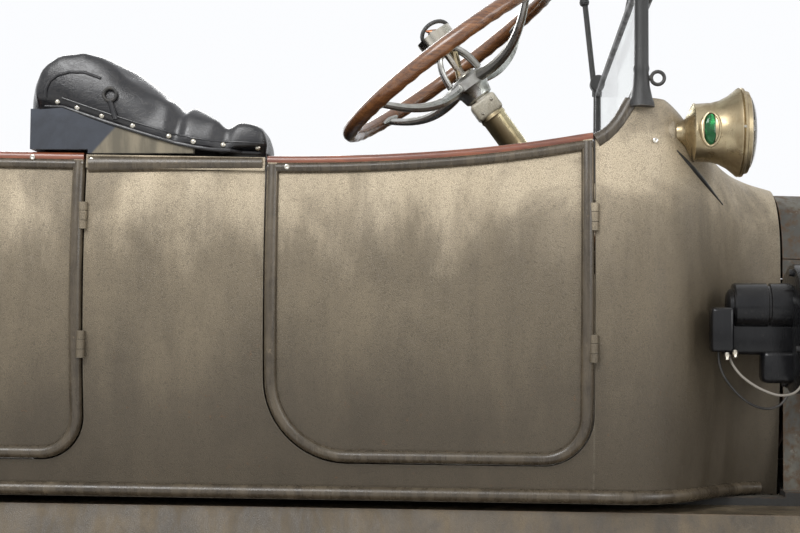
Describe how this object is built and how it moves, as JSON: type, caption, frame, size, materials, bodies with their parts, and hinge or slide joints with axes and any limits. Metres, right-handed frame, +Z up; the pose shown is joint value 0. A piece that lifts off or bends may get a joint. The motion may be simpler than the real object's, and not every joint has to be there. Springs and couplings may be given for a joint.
{
  "type": "antique touring car",
  "caption": "Open five-seat antique touring car with side doors, fixed cowl and hinged hood, wooden wheels, running boards, brass lamps and right-hand steering; no folding top fitted.",
  "frame": {"origin": "on the floor, midway between the tips of the front fenders and the spare tyre's rear face, on the car's centre plane", "axes": "+X forward along the car, +Y to the car's left, +Z up"},
  "size_m": [4.0797, 1.622, 1.894],
  "materials": {
    "frame_paint": "dull",
    "spring_steel": "dull",
    "cast_iron": "rough",
    "rusty_iron": "rusty",
    "brass": "aged",
    "core": "dark",
    "body_paint": "worn satin",
    "wood": "varnished",
    "leather": "worn",
    "rim_wood": "varnished",
    "black_iron": "satin",
    "glass": "clear",
    "black_paint": "satin",
    "fender_paint": "worn",
    "board_wood": "worn",
    "tyre": "matt",
    "rim_steel": "dull",
    "hood_metal": "rusty",
    "wheel_wood": "varnished"
  },
  "bodies": {
    "chassis": {"frame": "frame_paint", "engine": "cast_iron", "radiator": "brass", "radiator_core": "core", "cowl": "body_paint", "firewall": "wood", "toe_board": "wood", "dash_panel": "wood", "body_sides": "body_paint", "rear_tub": "body_paint", "floor": "wood", "seat_bases": "wood", "front_cushion": "leather", "front_seat_back": "leather", "front_seat_shell": "body_paint", "rear_cushion": "leather", "rear_seat_back": "leather", "steering_column": "brass", "windshield_frame": "black_iron", "windshield_glass": "glass", "cowl_lamps": "brass", "headlamps": "brass", "horn": "black_paint", "front_fenders": "fender_paint", "rear_fenders": "fender_paint", "running_boards": "board_wood", "aprons": "fender_paint", "front_axle": "frame_paint", "springs": "spring_steel", "rear_axle": "frame_paint", "exhaust": "rusty_iron", "controls": "black_iron", "tail_lamp": "brass", "spare_tyre": "tyre", "spare_rim": "rim_steel", "spare_carrier": "frame_paint", "hood_rod": "spring_steel", "hood_sides": "hood_metal"},
    "front_door_right": {"front_door_right": "body_paint"},
    "front_door_left": {"front_door_left": "body_paint"},
    "rear_door_right": {"rear_door_right": "body_paint"},
    "rear_door_left": {"rear_door_left": "body_paint"},
    "hood_right": {"hood_right": "hood_metal"},
    "hood_left": {"hood_left": "hood_metal"},
    "knuckle_right": {"knuckle_right": "frame_paint"},
    "knuckle_left": {"knuckle_left": "frame_paint"},
    "tie_rod": {"tie_rod": "frame_paint"},
    "pitman_arm": {"pitman_arm": "frame_paint"},
    "drag_link": {"drag_link": "frame_paint"},
    "steering_wheel": {"steering_wheel": "rim_wood"},
    "front_right_wheel": {"wheel_front_right": "wheel_wood", "tyre_front_right": "tyre"},
    "front_left_wheel": {"wheel_front_left": "wheel_wood", "tyre_front_left": "tyre"},
    "rear_right_wheel": {"wheel_rear_right": "wheel_wood", "tyre_rear_right": "tyre"},
    "rear_left_wheel": {"wheel_rear_left": "wheel_wood", "tyre_rear_left": "tyre"}
  },
  "joints": [
    {"name": "right_front_door_hinge", "type": "hinge", "parent": "chassis", "child": "front_door_right", "pos_m": [0.3095, -0.6, 0.985], "axis": [0, 0, 1], "range_deg": [0, 70]},
    {"name": "right_rear_door_hinge", "type": "hinge", "parent": "chassis", "child": "rear_door_right", "pos_m": [-0.5205, -0.6, 0.985], "axis": [0, 0, 1], "range_deg": [0, 70]},
    {"name": "left_front_door_hinge", "type": "hinge", "parent": "chassis", "child": "front_door_left", "pos_m": [0.3095, 0.6, 0.985], "axis": [0, 0, -1], "range_deg": [0, 70]},
    {"name": "left_rear_door_hinge", "type": "hinge", "parent": "chassis", "child": "rear_door_left", "pos_m": [-0.5205, 0.6, 0.985], "axis": [0, 0, -1], "range_deg": [0, 70]},
    {"name": "right_hood_hinge", "type": "hinge", "parent": "chassis", "child": "hood_right", "pos_m": [1.101, 0, 1.156], "axis": [-0.9999, 0, 0.0152], "range_deg": [0, 65]},
    {"name": "left_hood_hinge", "type": "hinge", "parent": "chassis", "child": "hood_left", "pos_m": [1.101, 0, 1.156], "axis": [0.9999, 0, -0.0152], "range_deg": [0, 65]},
    {"name": "left_steer", "type": "hinge", "parent": "chassis", "child": "knuckle_left", "pos_m": [1.6, 0.6, 0.432], "axis": [0, 0, 1], "range_deg": [-25, 25]},
    {"name": "right_steer", "type": "hinge", "parent": "chassis", "child": "knuckle_right", "pos_m": [1.6, -0.6, 0.432], "axis": [0, 0, 1], "range_deg": [-25, 25]},
    {"name": "tie_rod_pivot", "type": "hinge", "parent": "knuckle_left", "child": "tie_rod", "pos_m": [1.45, 0.6, 0.393], "axis": [0, 0, 1], "range_deg": [-25, 25]},
    {"name": "drop_arm_pivot", "type": "hinge", "parent": "chassis", "child": "pitman_arm", "pos_m": [0.76, -0.441, 0.611], "axis": [0, 1, 0], "range_deg": [-39, 39]},
    {"name": "drag_link_pivot", "type": "hinge", "parent": "pitman_arm", "child": "drag_link", "pos_m": [0.76, -0.45, 0.511], "axis": [0, 1, 0], "range_deg": [-39, 39]},
    {"name": "steering_wheel_turn", "type": "hinge", "parent": "chassis", "child": "steering_wheel", "pos_m": [0.07, -0.331, 1.394], "axis": [-0.5949, -0.0605, 0.8015], "range_deg": [-200, 200]},
    {"name": "front_right_wheel_spin", "type": "hinge", "parent": "knuckle_right", "child": "front_right_wheel", "pos_m": [1.6, -0.711, 0.432], "axis": [0, 1, 0], "continuous": true},
    {"name": "rear_right_wheel_spin", "type": "hinge", "parent": "chassis", "child": "rear_right_wheel", "pos_m": [-1.45, -0.711, 0.432], "axis": [0, 1, 0], "continuous": true},
    {"name": "front_left_wheel_spin", "type": "hinge", "parent": "knuckle_left", "child": "front_left_wheel", "pos_m": [1.6, 0.711, 0.432], "axis": [0, 1, 0], "continuous": true},
    {"name": "rear_left_wheel_spin", "type": "hinge", "parent": "chassis", "child": "rear_left_wheel", "pos_m": [-1.45, 0.711, 0.432], "axis": [0, 1, 0], "continuous": true}
  ],
  "couplings": [
    {"joint": "right_steer", "follows": "left_steer", "ratio": 1},
    {"joint": "tie_rod_pivot", "follows": "left_steer", "ratio": -1},
    {"joint": "drop_arm_pivot", "follows": "left_steer", "ratio": 1.56},
    {"joint": "drag_link_pivot", "follows": "left_steer", "ratio": -1.56},
    {"joint": "steering_wheel_turn", "follows": "left_steer", "ratio": 8}
  ]
}
